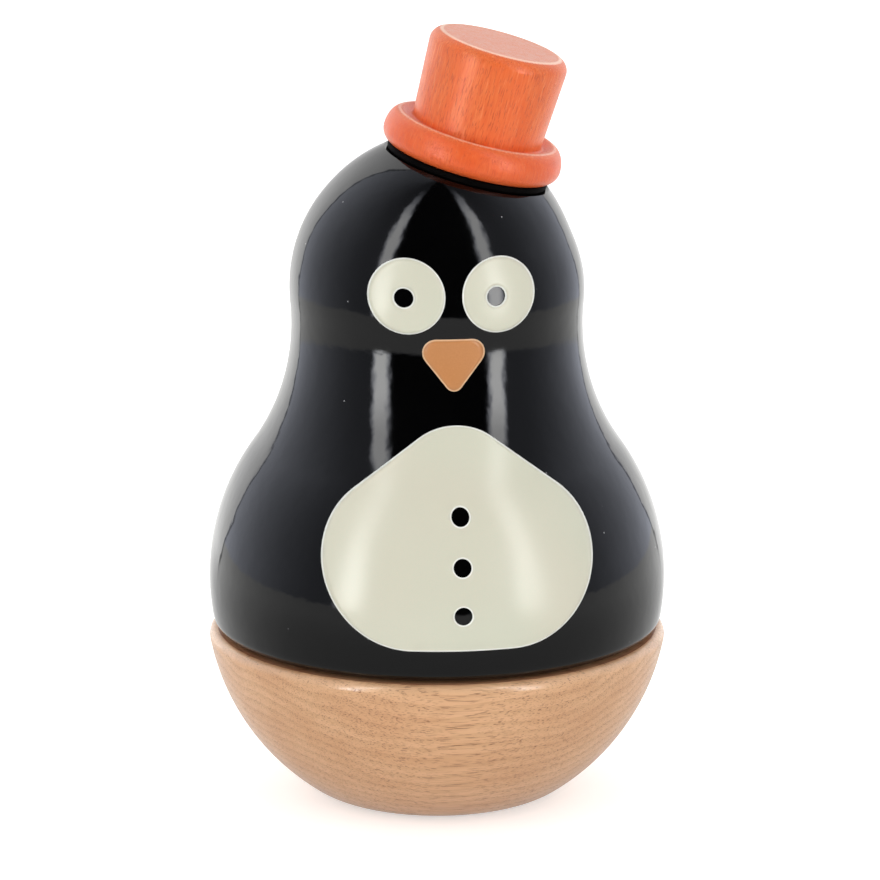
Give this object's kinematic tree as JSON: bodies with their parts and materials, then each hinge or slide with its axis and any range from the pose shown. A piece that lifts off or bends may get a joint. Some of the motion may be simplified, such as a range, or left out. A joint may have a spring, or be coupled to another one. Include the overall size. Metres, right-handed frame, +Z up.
{
  "type": "wind-up music box",
  "caption": "Turned wooden penguin in a tilted top hat: twisting it on its round beech base winds the music movement inside, and it turns back as the tune plays.",
  "frame": {"origin": "centre of the flat foot, on the table", "axes": "+Z up along the turning axis, the face looks along -Y, the hat leans towards +X"},
  "size_m": [0.09, 0.0902, 0.1529],
  "materials": {
    "beech": "satin oil",
    "black_lacquer": "high gloss lacquer",
    "orange_stain": "satin stain",
    "cream_print": "satin film",
    "tan_print": "satin film",
    "plywood": "raw",
    "felt": "wool felt",
    "nylon": "smooth",
    "iron": "turned",
    "steel": "bright",
    "spring_steel": "blued",
    "zinc": "as cast",
    "brass": "bright",
    "gear_plastic": "moulded",
    "vane_plastic": "moulded"
  },
  "bodies": {
    "base": {"base_bowl": "beech", "ballast_weight": "iron", "ballast_screws": "steel", "foot_pad": "felt", "tee_nut": "steel", "slide_washer": "nylon", "winding_arbor": "steel", "great_wheel": "brass", "ratchet_wheel": "steel", "ratchet_click": "steel", "click_rivet": "brass"},
    "penguin": {"body_shell": "black_lacquer", "hat": "orange_stain", "hat_disc": "black_lacquer", "hat_dowel": "beech", "eye_prints": "cream_print", "beak_print": "tan_print", "belly_print": "cream_print", "floor_board": "plywood", "board_screws": "steel", "arbor_bush": "brass", "bedplate": "zinc", "bedplate_screws": "steel", "spring_drum": "brass", "drum_lid": "brass", "drum_rivets": "brass", "mainspring": "spring_steel", "drum_bridge": "brass", "bridge_pillars": "steel", "bridge_screws": "steel", "comb": "steel", "comb_screws": "steel", "inner_bearing": "brass", "outer_bearing": "brass", "bearing_screws": "steel", "governor_frame": "brass", "governor_screws": "steel"},
    "cylinder": {"tune_cylinder": "brass", "cylinder_caps": "brass", "tune_pins": "steel", "cylinder_axle": "steel", "drive_pinion": "brass", "cylinder_wheel": "brass"},
    "governor": {"governor_shaft": "steel", "governor_pinion": "brass", "worm_wheel": "gear_plastic"},
    "worm": {"governor_worm": "gear_plastic", "air_vane": "vane_plastic"}
  },
  "joints": [
    {"name": "body_turn", "type": "hinge", "parent": "base", "child": "penguin", "pos_m": [0, 0, 0.0335], "axis": [0, 0, 1], "range_deg": [-1890, 0], "stiffness_Nm_per_rad": 0.0008},
    {"name": "cylinder_spin", "type": "hinge", "parent": "penguin", "child": "cylinder", "pos_m": [0.0151, 0, 0.05256], "axis": [1, 0, 0], "range_deg": [0, 3780]},
    {"name": "governor_spin", "type": "hinge", "parent": "penguin", "child": "governor", "pos_m": [0.02229, 0.01035, 0.05256], "axis": [1, 0, 0], "range_deg": [-17955, 0]},
    {"name": "worm_spin", "type": "hinge", "parent": "penguin", "child": "worm", "pos_m": [0.02229, 0.01545, 0.05256], "axis": [0, 0, 1], "range_deg": [0, 287280]}
  ],
  "couplings": [
    {"joint": "cylinder_spin", "follows": "body_turn", "ratio": -2},
    {"joint": "governor_spin", "follows": "body_turn", "ratio": 9.5},
    {"joint": "worm_spin", "follows": "body_turn", "ratio": -152}
  ]
}
